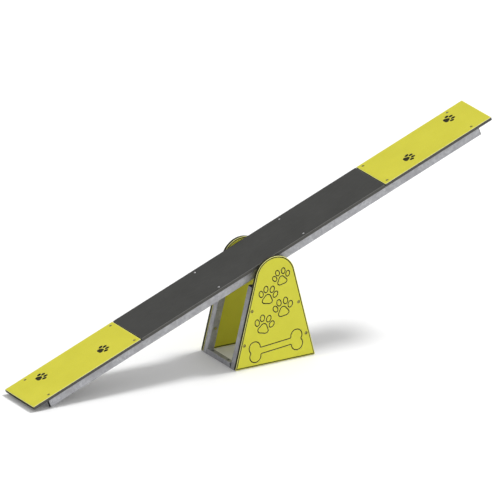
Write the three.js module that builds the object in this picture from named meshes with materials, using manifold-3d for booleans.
// Agility seesaw: a plank on two steel rails tips over an axle held in a stand with two side panels.
// Millimetres, +Z up. The plank lies along X with its low end at -X; the near side is -Y.
import * as THREE from "three";
import { mergeVertices } from "three/addons/utils/BufferGeometryUtils.js";
import Module from "manifold-3d";

const wasm = await Module();
wasm.setup();

// Driving dimensions
const seat = 0.3; // clearance between two pieces that touch or run on each other
const overrun = 4; // how far a cutter passes the face that it opens

const board = {
  length: 3000,
  width: 300,
  thickness: 19,
  chamfer: 3,
  cornerRadius: 4,
  endPanelLength: 700,
  jointGap: 3,
  lowEndShift: 17.4, // the board's middle lies this far from the axle, so the low end is the heavy one
};

const rail = {
  depth: 50,
  width: 20,
  wall: 2,
  cornerRadius: 3,
  edgeInset: 17, // from the board's edge to the rail's outer face
  lowEndInset: 100, // from the board's low end to the rail's end
  highEndInset: 85, // the same at the high end
};

const crossbar = {
  width: 30,
  depth: 30,
  wall: 2,
  cornerRadius: 3,
  endInset: 45, // from the rail's end to the middle of the first crossbar
  axleOffset: 112, // from the axle to the middle of the crossbars beside it
};

const tubeCap = {
  lip: 3,
  plugLength: 12,
};

const deckScrew = {
  headDiameter: 12,
  headHeight: 3,
  headRim: 1.5,
  shankDiameter: 6,
  lengthInRail: 14,
  recessDiameter: 15,
  recessDepth: 3.6,
  outerInset: 115, // from a contact panel's outer end
  innerInset: 28, // from a contact panel's inner end
  centreSpan: 554, // between the two rows in the centre panel
};

const stand = {
  baseWidth: 490,
  height: 600,
  topRadius: 120,
  panelThickness: 19,
  panelChamfer: 3,
  panelCornerRadius: 5,
  panelFootGap: 2,
  boardClearance: 10, // from the board's edge to a side panel
};

const leg = {
  width: 40,
  wall: 2.5,
  cornerRadius: 4,
  edgeInset: 2, // from the side panel's leaning edge to the leg's outer face
  topBelowAxle: 38,
};

const footBar = {
  width: 30,
  height: 30,
  wall: 2,
  cornerRadius: 3,
  anchorHoleDiameter: 16,
  anchorHoleSpan: 157,
};

const headPlate = {
  thickness: 8,
  radius: 34,
  railClearance: 7, // from the rail's outer face to the plate
  lapOnLegs: 42, // how far the plate reaches down between the legs
};

const axle = {
  diameter: 25,
  endDiameter: 20,
  endBeyondNut: 1.5,
  endChamfer: 1,
  belowRails: 37.3, // from the rails' underside to the axle's middle
};

const axleNut = {
  acrossFlats: 30,
  height: 8,
};

const sleeve = {
  outerDiameter: 40,
  wall: 3.5,
  beyondEar: 5,
};

const bush = {
  bodyLength: 30,
  flangeThickness: 4,
};

const spacer = {
  outerDiameter: 34,
};

const pivotEar = {
  thickness: 8,
  radius: 32,
  topWidth: 150,
  lapOnRail: 40,
};

const panelBolt = {
  headDiameter: 14,
  headHeight: 4,
  headRim: 2,
  shankDiameter: 8,
  nutDiameter: 15,
  nutHeight: 8,
  recessDiameter: 17,
  recessDepth: 4.6,
  upperHeight: 317,
  lowerHeight: 133,
};

const arcSides = { corner: 2, small: 12, round: 20, panelTop: 32 };

// Sizes that follow from the driving dimensions
const axleHeight = stand.height - stand.topRadius;
const boardHalf = board.length / 2;
const railY = board.width / 2 - rail.edgeInset - rail.width / 2;
const railInnerY = railY - rail.width / 2;
const railOuterY = railY + rail.width / 2;
const railLength = board.length - rail.lowEndInset - rail.highEndInset;
const railBottom = axle.belowRails;
const railTop = railBottom + rail.depth;
const boardBottom = railTop + seat;
const boardTop = boardBottom + board.thickness;
const boardMiddle = -board.lowEndShift;
const railMiddle = boardMiddle + (rail.lowEndInset - rail.highEndInset) / 2;
const panelInnerY = board.width / 2 + stand.boardClearance;
const panelOuterY = panelInnerY + stand.panelThickness;
const legOuterY = panelInnerY - seat;
const legMiddleY = legOuterY - leg.width / 2;
const legInnerY = legOuterY - leg.width;
const legTop = axleHeight - leg.topBelowAxle;
const headPlateInnerY = railOuterY + headPlate.railClearance;
const headPlateOuterY = headPlateInnerY + headPlate.thickness;
const earOuterY = railInnerY - seat;
const earInnerY = earOuterY - pivotEar.thickness;
const sleeveHalf = earOuterY + sleeve.beyondEar;
const sleeveBore = sleeve.outerDiameter - 2 * sleeve.wall;
const runningBore = axle.diameter + 2 * seat;
const bushOuterY = sleeveHalf + seat + bush.flangeThickness;

// The angle on a circle where a line from the point (x, z) touches it, on the side given by the turn
function tangentAngle(x, z, radius, turn) {
  return Math.atan2(z, x) + turn * Math.acos(radius / Math.hypot(x, z));
}

const lean = tangentAngle(stand.baseWidth / 2, -axleHeight, stand.topRadius, 1);
const legSectionWidth = leg.width / Math.cos(lean);
const edgeInsetX = leg.edgeInset / Math.cos(lean);

// Half the distance between the outer faces of the two legs of a side, at a height
function legOuterX(height) {
  return stand.baseWidth / 2 - edgeInsetX - height * Math.tan(lean);
}

function legMiddleX(height) {
  return legOuterX(height) - legSectionWidth / 2;
}

function legInnerX(height) {
  return legOuterX(height) - legSectionWidth;
}

// The tilt at which the lower edge of a rail cap, this far from the axle, meets the ground
function tiltOnGround(reach) {
  return Math.asin(axleHeight / Math.hypot(reach, railBottom)) + Math.atan2(railBottom, reach);
}

const lowCapReach = railLength / 2 - railMiddle + seat + tubeCap.lip;
const restTilt = tiltOnGround(lowCapReach);

// The model stands with the middle of its box over the origin
function turnedX(x, z) {
  return x * Math.cos(restTilt) - z * Math.sin(restTilt);
}

const lowReach = turnedX(boardMiddle - boardHalf, boardTop - board.chamfer);
const highReach = turnedX(boardMiddle + boardHalf, boardBottom + board.chamfer);
const standX = -(lowReach + highReach) / 2;

// Finishes
function finish(color, roughness, metalness) {
  return new THREE.MeshStandardMaterial({ color, roughness, metalness });
}

const yellowPlastic = finish(0xd3cf52, 0.55, 0);
const greyPlastic = finish(0x4e4e4d, 0.75, 0);
const galvanisedSteel = finish(0x9c9d9f, 0.45, 0.85);
const zincPlated = finish(0xc4c6c8, 0.3, 0.9);
const blackPlastic = finish(0x1c1c1c, 0.6, 0);
const nylon = finish(0xd8d5c8, 0.5, 0);

// Joining and cutting of closed bodies
function solidOf(geometry) {
  const bare = geometry.clone();
  bare.deleteAttribute("normal");
  bare.deleteAttribute("uv");
  const merged = mergeVertices(bare);
  return new wasm.Manifold(new wasm.Mesh({
    numProp: 3,
    vertProperties: new Float32Array(merged.attributes.position.array),
    triVerts: new Uint32Array(merged.index.array),
  }));
}

function geometryOf(solid) {
  const mesh = solid.getMesh();
  const geometry = new THREE.BufferGeometry();
  geometry.setAttribute("position", new THREE.BufferAttribute(mesh.vertProperties, 3));
  geometry.setIndex(new THREE.BufferAttribute(mesh.triVerts, 1));
  geometry.computeVertexNormals();
  return geometry;
}

function cut(geometry, cutters) {
  const body = cutters.reduce((solid, cutter) => solid.subtract(solidOf(cutter)), solidOf(geometry));
  return geometryOf(body);
}

function join(geometries) {
  const [first, ...rest] = geometries.map(solidOf);
  return geometryOf(rest.reduce((solid, other) => solid.add(other), first));
}

// Basic forms
function roundedRectangle(width, height, radius, path = new THREE.Shape()) {
  const x = width / 2 - radius;
  const y = height / 2 - radius;
  path.absarc(x, y, radius, 0, Math.PI / 2);
  path.absarc(-x, y, radius, Math.PI / 2, Math.PI);
  path.absarc(-x, -y, radius, Math.PI, 1.5 * Math.PI);
  path.absarc(x, -y, radius, 1.5 * Math.PI, 2 * Math.PI);
  path.closePath();
  return path;
}

function arcPoints(x, y, radius, from, to, sideCount) {
  return Array.from({ length: sideCount + 1 }, (_, index) => {
    const angle = from + (to - from) * index / sideCount;
    return new THREE.Vector2(x + radius * Math.cos(angle), y + radius * Math.sin(angle));
  });
}

function plate(shape, thickness, curveSegments) {
  return new THREE.ExtrudeGeometry(shape, { depth: thickness, bevelEnabled: false, curveSegments });
}

// A plate whose two faces have a chamfer along the whole outline, centred on its thickness
function chamferedPlate(shape, thickness, chamfer, curveSegments) {
  const geometry = new THREE.ExtrudeGeometry(shape, {
    depth: thickness - 2 * chamfer,
    bevelThickness: chamfer,
    bevelSize: chamfer,
    bevelOffset: -chamfer,
    bevelSegments: 1,
    curveSegments,
  });
  return geometry.translate(0, 0, chamfer - thickness / 2);
}

// A square tube along Z from zero to its length
function squareTube(section, length) {
  const shape = roundedRectangle(section.width, section.depth, section.cornerRadius);
  shape.holes.push(boreOf(section, 0, new THREE.Path()));
  return plate(shape, length, arcSides.corner);
}

// The inside of a square tube, made smaller all round by a clearance
function boreOf(section, clearance, path) {
  const width = section.width - 2 * (section.wallX + clearance);
  const depth = section.depth - 2 * (section.wallY + clearance);
  return roundedRectangle(width, depth, section.boreRadius, path);
}

function tubeSection(width, depth, wall, cornerRadius, stretch = 1) {
  return {
    width: width * stretch,
    depth,
    wallX: wall * stretch,
    wallY: wall,
    cornerRadius,
    boreRadius: cornerRadius - wall / 2,
  };
}

// A plug with a lip that closes a square tube; the lip starts at zero and the plug points down
function plugFor(section) {
  const lip = plate(roundedRectangle(section.width, section.depth, section.cornerRadius),
    tubeCap.lip, arcSides.corner);
  const plugDepth = tubeCap.plugLength + tubeCap.lip / 2;
  const plug = plate(boreOf(section, seat, new THREE.Shape()), plugDepth, arcSides.corner);
  plug.translate(0, 0, -tubeCap.plugLength);
  return join([lip, plug]);
}

function cylinderZ(diameter, length) {
  const geometry = new THREE.CylinderGeometry(diameter / 2, diameter / 2, length, arcSides.small);
  return geometry.rotateX(Math.PI / 2);
}

function cylinderY(diameter, length, sides = arcSides.small) {
  return new THREE.CylinderGeometry(diameter / 2, diameter / 2, length, sides);
}

// A turned body about Y; the profile is a list of [radius, distance along Y]
function turned(profile, sides) {
  return new THREE.LatheGeometry(profile.map(([radius, y]) => new THREE.Vector2(radius, y)), sides);
}

function turnedRing(innerDiameter, outerDiameter, y0, y1, sides = arcSides.round) {
  const inner = innerDiameter / 2;
  const outer = outerDiameter / 2;
  return turned([[inner, y0], [outer, y0], [outer, y1], [inner, y1], [inner, y0]], sides);
}

// A shape drawn in X and Z becomes an upright plate from y0 to y0 plus its thickness
function uprightPlate(shape, thickness, y0, curveSegments) {
  return plate(shape, thickness, curveSegments).rotateX(Math.PI / 2).translate(0, y0 + thickness, 0);
}

// A lug round the origin of X and Z: two corners on a line, and an arc that their edges touch
function lugOutline(shape, cornerX, cornerZ, radius) {
  const turn = cornerZ > 0 ? -1 : 1;
  const angle = tangentAngle(cornerX, cornerZ, radius, turn);
  shape.lineTo(cornerX, cornerZ);
  shape.absarc(0, 0, radius, angle, Math.PI - angle, turn < 0);
  shape.lineTo(-cornerX, cornerZ);
  shape.closePath();
  return shape;
}

const sides = [
  { name: "near", y: -1 },
  { name: "far", y: 1 },
];
const ends = [
  { name: "low", x: -1 },
  { name: "high", x: 1 },
];

// Every piece is a named mesh; a flip turns a piece made for the far side to the near side
function add(group, name, geometry, material, x = 0, y = 0, z = 0) {
  const mesh = new THREE.Mesh(geometry, material);
  mesh.name = name;
  mesh.position.set(x, y, z);
  group.add(mesh);
  return mesh;
}

function addTurned(group, name, geometry, material, side, x = 0, z = 0) {
  const mesh = add(group, name, geometry, material, x, 0, z);
  mesh.rotation.z = side.y < 0 ? Math.PI : 0;
  return mesh;
}

// The plank, drawn about the axle with its top facing +Z
const plank = new THREE.Group();
plank.position.z = axleHeight;
plank.rotation.y = -restTilt;

function deckScrewHoles(rows, panelMiddle) {
  return rows.flatMap((x) => sides.flatMap((side) => {
    const shank = cylinderZ(deckScrew.shankDiameter + 2 * seat, board.thickness + 2 * overrun);
    const recess = cylinderZ(deckScrew.recessDiameter, deckScrew.recessDepth + overrun);
    recess.translate(0, 0, (board.thickness - deckScrew.recessDepth + overrun) / 2);
    return [shank, recess].map((cutter) => cutter.translate(x - panelMiddle, side.y * railY, 0));
  }));
}

function addDeckPanel(name, middle, length, rows, material) {
  const outline = roundedRectangle(length, board.width, board.cornerRadius);
  const blank = chamferedPlate(outline, board.thickness, board.chamfer, arcSides.corner);
  const geometry = cut(blank, deckScrewHoles(rows, middle));
  add(plank, name, geometry, material, middle, 0, boardBottom + board.thickness / 2);
}

const centrePanelLength = board.length - 2 * (board.endPanelLength + board.jointGap);
const endPanelMiddle = boardHalf - board.endPanelLength / 2;
const jointX = centrePanelLength / 2 + board.jointGap / 2;
const outerRowX = boardHalf - deckScrew.outerInset;
const innerRowX = boardHalf - board.endPanelLength + deckScrew.innerInset;
const lowRows = [-outerRowX, -innerRowX].map((x) => boardMiddle + x);
const centreRows = [-deckScrew.centreSpan / 2, deckScrew.centreSpan / 2].map((x) => boardMiddle + x);
const highRows = [innerRowX, outerRowX].map((x) => boardMiddle + x);
const screwRows = [...lowRows, ...centreRows, ...highRows];

addDeckPanel("lower_contact_panel", boardMiddle - endPanelMiddle, board.endPanelLength, lowRows, yellowPlastic);
addDeckPanel("centre_deck_panel", boardMiddle, centrePanelLength, centreRows, greyPlastic);
addDeckPanel("upper_contact_panel", boardMiddle + endPanelMiddle, board.endPanelLength, highRows, yellowPlastic);

// Rails, with a threaded hole in the top wall under each deck screw, and a plug in each end
const railSection = tubeSection(rail.depth, rail.width, rail.wall, rail.cornerRadius);
const railHeight = (railTop + railBottom) / 2;

for (const side of sides) {
  const tube = squareTube(railSection, railLength).translate(0, 0, -railLength / 2).rotateY(Math.PI / 2);
  const holes = screwRows.map((x) => {
    const hole = cylinderZ(deckScrew.shankDiameter + 2 * seat, rail.wall + overrun);
    return hole.translate(x - railMiddle, 0, rail.depth / 2);
  });
  add(plank, `${side.name}_rail`, cut(tube, holes), galvanisedSteel, railMiddle, side.y * railY, railHeight);
  for (const end of ends) {
    const cap = plugFor(railSection).rotateY(Math.PI / 2);
    const x = railMiddle + end.x * (railLength / 2 + seat);
    const mesh = add(plank, `${side.name}_${end.name}_rail_cap`, cap, blackPlastic, x, side.y * railY, railHeight);
    mesh.rotation.z = end.x < 0 ? Math.PI : 0;
  }
}

// Crossbars between the rails, under the ends of the board, its joints and beside the axle
const crossbarSection = tubeSection(crossbar.width, crossbar.depth, crossbar.wall, crossbar.cornerRadius);
const crossbarLength = 2 * (railInnerY - seat);
const crossbarHeight = railTop - crossbar.depth / 2;
const crossbarPlaces = {
  end: { middle: railMiddle, offset: railLength / 2 - crossbar.endInset },
  joint: { middle: boardMiddle, offset: jointX },
  pivot: { middle: 0, offset: crossbar.axleOffset },
};

for (const [place, { middle, offset }] of Object.entries(crossbarPlaces)) {
  for (const end of ends) {
    const tube = squareTube(crossbarSection, crossbarLength).translate(0, 0, -crossbarLength / 2);
    tube.rotateX(Math.PI / 2);
    add(plank, `${end.name}_${place}_crossbar`, tube, galvanisedSteel, middle + end.x * offset, 0, crossbarHeight);
  }
}

// Deck screws: a domed head in its recess and a shank through the panel into the rail
const headSeatHeight = boardTop - deckScrew.recessDepth + seat;
const shankLength = headSeatHeight - railTop + deckScrew.lengthInRail;
const screwProfile = [
  [0, -shankLength],
  [deckScrew.shankDiameter / 2, -shankLength],
  [deckScrew.shankDiameter / 2, 0],
  [deckScrew.headDiameter / 2, 0],
  [deckScrew.headDiameter / 2, deckScrew.headRim],
  [deckScrew.headDiameter / 4, deckScrew.headHeight],
  [0, deckScrew.headHeight],
];

screwRows.flatMap((x) => sides.map((side) => [x, side.y * railY])).forEach(([x, y], index) => {
  const screw = turned(screwProfile, arcSides.small).rotateX(Math.PI / 2);
  const name = `deck_screw_${String(index + 1).padStart(2, "0")}`;
  add(plank, name, screw, zincPlated, x, y, headSeatHeight);
});

// Pivot ears hang from the rails' inner faces and carry the sleeve with its two flanged bushes
for (const side of sides) {
  const outline = new THREE.Shape();
  outline.moveTo(-pivotEar.topWidth / 2, railBottom + pivotEar.lapOnRail);
  lugOutline(outline, pivotEar.topWidth / 2, railBottom + pivotEar.lapOnRail, pivotEar.radius);
  const blank = uprightPlate(outline, pivotEar.thickness, earInnerY, arcSides.round);
  const bore = cylinderY(sleeve.outerDiameter + 2 * seat, 2 * earOuterY + 2 * overrun, arcSides.round);
  addTurned(plank, `${side.name}_pivot_ear`, cut(blank, [bore]), galvanisedSteel, side);

  const bushBody = sleeveBore / 2 - seat;
  const bushFlange = sleeve.outerDiameter / 2;
  const bushProfile = [
    [runningBore / 2, bushOuterY],
    [runningBore / 2, sleeveHalf - bush.bodyLength],
    [bushBody, sleeveHalf - bush.bodyLength],
    [bushBody, sleeveHalf + seat],
    [bushFlange, sleeveHalf + seat],
    [bushFlange, bushOuterY],
    [runningBore / 2, bushOuterY],
  ];
  addTurned(plank, `${side.name}_pivot_bush`, turned(bushProfile, arcSides.round), nylon, side);
}
const sleeveTube = turnedRing(sleeveBore, sleeve.outerDiameter, -sleeveHalf, sleeveHalf);
add(plank, "pivot_sleeve", sleeveTube, galvanisedSteel);

// The stand, drawn about the point on the ground under the axle
const standFrame = new THREE.Group();
const boltHeights = [panelBolt.upperHeight, panelBolt.lowerHeight];
const boltPlaces = ends.flatMap((end) => boltHeights.map((height) => [end.x * legMiddleX(height), height]));

// Side panels lean in to an arc round the axle and have rounded foot corners
function sidePanelOutline() {
  const radius = stand.panelCornerRadius;
  const cornerZ = stand.panelFootGap + radius;
  const leaningEdge = stand.baseWidth / 2 * Math.cos(lean);
  const cornerX = (leaningEdge - radius - cornerZ * Math.sin(lean)) / Math.cos(lean);
  return new THREE.Shape([
    ...arcPoints(cornerX, cornerZ, radius, -Math.PI / 2, lean, arcSides.corner),
    ...arcPoints(0, axleHeight, stand.topRadius, lean, Math.PI - lean, arcSides.panelTop),
    ...arcPoints(-cornerX, cornerZ, radius, Math.PI - lean, 1.5 * Math.PI, arcSides.corner),
  ]);
}

function sidePanel() {
  const blank = chamferedPlate(sidePanelOutline(), stand.panelThickness, stand.panelChamfer);
  blank.rotateX(Math.PI / 2);
  const holes = boltPlaces.flatMap(([x, height]) => {
    const shank = cylinderY(panelBolt.shankDiameter + 2 * seat, stand.panelThickness + 2 * overrun);
    const recess = cylinderY(panelBolt.recessDiameter, panelBolt.recessDepth + overrun);
    recess.translate(0, (stand.panelThickness - panelBolt.recessDepth + overrun) / 2, 0);
    return [shank, recess].map((cutter) => cutter.translate(x, 0, height));
  });
  return cut(blank, holes).translate(0, panelInnerY + stand.panelThickness / 2, 0);
}

for (const side of sides) {
  addTurned(standFrame, `${side.name}_side_panel`, sidePanel(), yellowPlastic, side);
}

// Legs: leaning square tubes cut level at both ends, drawn for the high end and turned for the low one
const legSection = tubeSection(leg.width, leg.width, leg.wall, leg.cornerRadius, 1 / Math.cos(lean));
const leaning = new THREE.Matrix4().makeShear(0, 0, 0, 0, -Math.tan(lean), 0);

function legTube() {
  const tube = squareTube(legSection, legTop).applyMatrix4(leaning);
  tube.translate(legMiddleX(0), 0, 0);
  const holes = boltHeights.map((height) => {
    const hole = cylinderY(panelBolt.shankDiameter + 2 * seat, leg.width + 2 * overrun);
    return hole.translate(legMiddleX(height), 0, height);
  });
  return cut(tube, holes);
}

for (const side of sides) {
  for (const end of ends) {
    const legMesh = add(standFrame, `${side.name}_${end.name}_leg`, legTube(), galvanisedSteel);
    legMesh.position.y = side.y * legMiddleY;
    legMesh.rotation.z = end.x < 0 ? Math.PI : 0;
    const cap = plugFor(legSection).applyMatrix4(leaning).translate(legMiddleX(legTop), 0, 0);
    const capMesh = add(standFrame, `${side.name}_${end.name}_leg_cap`, cap, blackPlastic);
    capMesh.position.set(0, side.y * legMiddleY, legTop + seat);
    capMesh.rotation.z = end.x < 0 ? Math.PI : 0;
  }
}

// Foot bars tie the near and far legs along the ground and have holes for ground anchors
const footBarSection = tubeSection(footBar.width, footBar.height, footBar.wall, footBar.cornerRadius);
const footBarLength = 2 * (legInnerY - seat);

for (const end of ends) {
  const tube = squareTube(footBarSection, footBarLength).translate(0, 0, -footBarLength / 2);
  tube.rotateX(Math.PI / 2);
  const holes = sides.map((side) => {
    const hole = cylinderZ(footBar.anchorHoleDiameter, footBar.height + 2 * overrun);
    return hole.translate(0, side.y * footBar.anchorHoleSpan / 2, 0);
  });
  const x = end.x * (legOuterX(0) - footBar.width / 2);
  add(standFrame, `${end.name}_foot_bar`, cut(tube, holes), galvanisedSteel, x, 0, footBar.height / 2);
}

// Head plates stand between the two legs of a side and hold the axle's ends
for (const side of sides) {
  const bottom = legTop - headPlate.lapOnLegs;
  const bottomHalf = legInnerX(bottom) - seat;
  const outline = new THREE.Shape();
  outline.moveTo(-bottomHalf, bottom - axleHeight);
  outline.lineTo(bottomHalf, bottom - axleHeight);
  lugOutline(outline, legInnerX(legTop) - seat, legTop - axleHeight, headPlate.radius);
  const blank = uprightPlate(outline, headPlate.thickness, headPlateInnerY, arcSides.round);
  const bore = cylinderY(axle.endDiameter + 2 * seat, 2 * headPlateOuterY + 2 * overrun, arcSides.round);
  addTurned(standFrame, `${side.name}_head_plate`, cut(blank, [bore]), galvanisedSteel, side, 0, axleHeight);
}

// The axle has a shoulder at each head plate and a nut outside it
const axleShoulder = headPlateInnerY - seat;
const nutInnerY = headPlateOuterY + seat;
const axleEnd = nutInnerY + axleNut.height + axle.endBeyondNut;
const axleHalfProfile = [
  [axle.diameter / 2, axleShoulder],
  [axle.endDiameter / 2, axleShoulder],
  [axle.endDiameter / 2, axleEnd - axle.endChamfer],
  [axle.endDiameter / 2 - axle.endChamfer, axleEnd],
  [0, axleEnd],
];
const mirroredProfile = axleHalfProfile.map(([radius, y]) => [radius, -y]).reverse();
const axleBody = turned([...mirroredProfile, ...axleHalfProfile], arcSides.round);
add(standFrame, "pivot_axle", axleBody, zincPlated, 0, 0, axleHeight);

function hexagon(acrossFlats, boreDiameter) {
  const radius = acrossFlats / Math.sqrt(3);
  const corners = [0, 1, 2, 3, 4, 5].map((corner) => {
    const angle = corner * Math.PI / 3;
    return new THREE.Vector2(radius * Math.cos(angle), radius * Math.sin(angle));
  });
  const shape = new THREE.Shape(corners);
  shape.holes.push(new THREE.Path().absarc(0, 0, boreDiameter / 2, 0, 2 * Math.PI));
  return shape;
}

for (const side of sides) {
  const nutShape = hexagon(axleNut.acrossFlats, axle.endDiameter + 2 * seat);
  const nut = uprightPlate(nutShape, axleNut.height, nutInnerY, arcSides.round);
  addTurned(standFrame, `${side.name}_axle_nut`, nut, zincPlated, side, 0, axleHeight);
  const ring = turnedRing(runningBore, spacer.outerDiameter, bushOuterY + seat, headPlateInnerY - seat);
  addTurned(standFrame, `${side.name}_axle_spacer`, ring, zincPlated, side, 0, axleHeight);
}

// Panel bolts: a domed head in its recess, a shank through panel and leg, and a cap nut on the leg's inside
const boltHeadY = panelOuterY - panelBolt.recessDepth + seat;
const boltNutY = legInnerY - seat;
const boltProfile = [
  [0, boltNutY - panelBolt.nutHeight],
  [panelBolt.nutDiameter / 4, boltNutY - panelBolt.nutHeight],
  [panelBolt.nutDiameter / 2, boltNutY - panelBolt.nutHeight / 2],
  [panelBolt.nutDiameter / 2, boltNutY],
  [panelBolt.shankDiameter / 2, boltNutY],
  [panelBolt.shankDiameter / 2, boltHeadY],
  [panelBolt.headDiameter / 2, boltHeadY],
  [panelBolt.headDiameter / 2, boltHeadY + panelBolt.headRim],
  [panelBolt.headDiameter / 4, boltHeadY + panelBolt.headHeight],
  [0, boltHeadY + panelBolt.headHeight],
];

sides.flatMap((side) => boltPlaces.map((place) => [side, place])).forEach(([side, [x, height]], index) => {
  const name = `panel_bolt_${String(index + 1).padStart(2, "0")}`;
  addTurned(standFrame, name, turned(boltProfile, arcSides.small), zincPlated, side, x, height);
});

const seesaw = new THREE.Group();
seesaw.position.x = standX;
seesaw.add(standFrame, plank);

export default seesaw;
